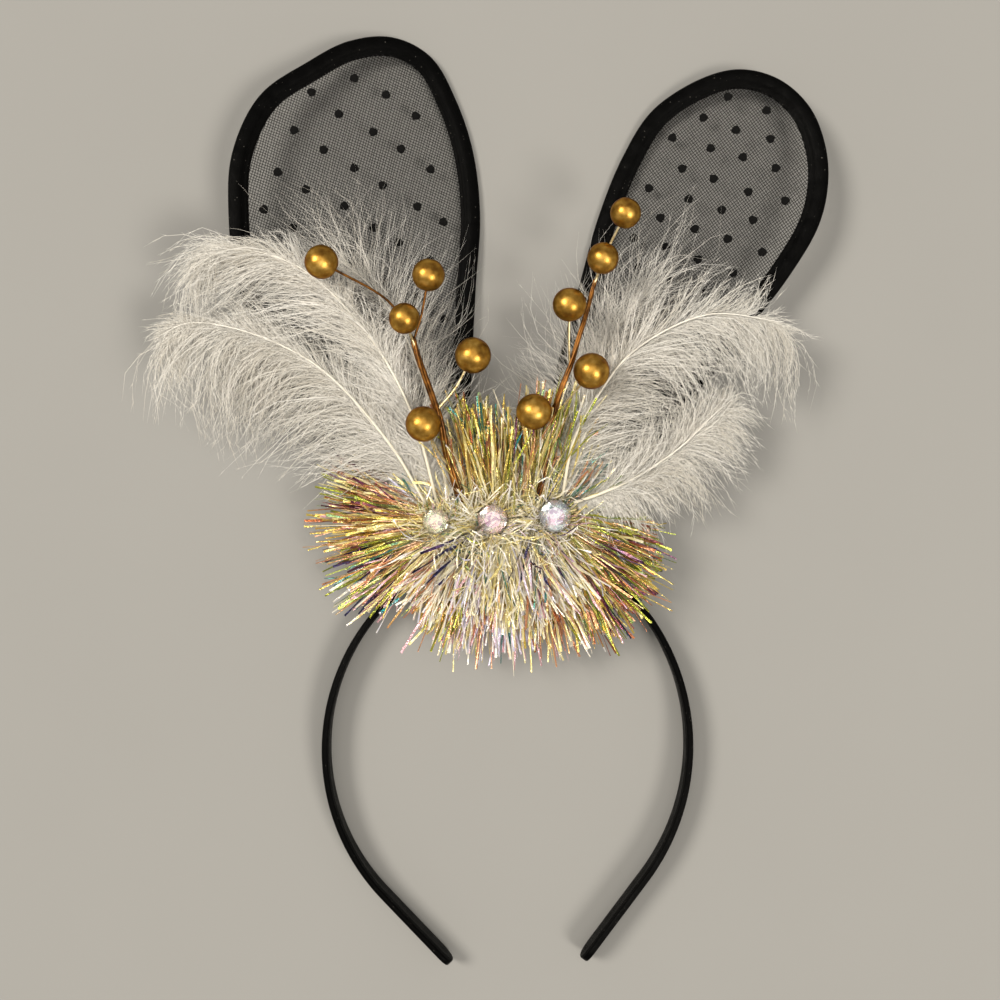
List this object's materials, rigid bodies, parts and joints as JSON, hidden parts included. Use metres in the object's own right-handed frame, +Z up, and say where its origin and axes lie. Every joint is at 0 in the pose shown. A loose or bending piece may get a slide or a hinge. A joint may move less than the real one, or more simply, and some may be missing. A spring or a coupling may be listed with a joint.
{
  "type": "bunny ears headband",
  "caption": "Satin headband with wired ears of dotted net, white down feathers, pearl sprigs, an iridescent tinsel burst and a row of cut gems, lying flat.",
  "frame": {"origin": "middle of the crown, on the flat lower edge that the band lies on", "axes": "+Y from the band's tips to its crown and ears, +Z up from the surface that it lies on, +X to the wearer's side that shows right from above"},
  "size_m": [0.2349, 0.3252, 0.0434],
  "materials": {
    "satin": "black satin ribbon with a soft sheen",
    "net": "black tulle with flocked dots",
    "down": "white marabou down",
    "wire": "copper brown lacquered wire, twisted",
    "pearl": "antique gold pearl, satin gloss",
    "tinsel": "iridescent film, yellow to pink and green",
    "crystal": "clear cut stone with a rainbow coat"
  },
  "bodies": {
    "root": {"headband": "satin", "ear_rim_left": "satin", "ear_net_left": "net", "ear_rim_right": "satin", "ear_net_right": "net", "feather_left_upper": "down", "feather_left_lower": "down", "feather_left_back": "down", "feather_right_upper": "down", "feather_right_lower": "down", "feather_right_back": "down", "sprig_stem_left": "wire", "bead_left_1": "pearl", "bead_left_2": "pearl", "bead_left_3": "pearl", "bead_left_4": "pearl", "bead_left_5": "pearl", "sprig_stem_right": "wire", "bead_right_1": "pearl", "bead_right_2": "pearl", "bead_right_3": "pearl", "bead_right_4": "pearl", "bead_right_5": "pearl", "tinsel": "tinsel", "gem_left": "crystal", "gem_center": "crystal", "gem_right": "crystal"}
  },
  "joints": []
}
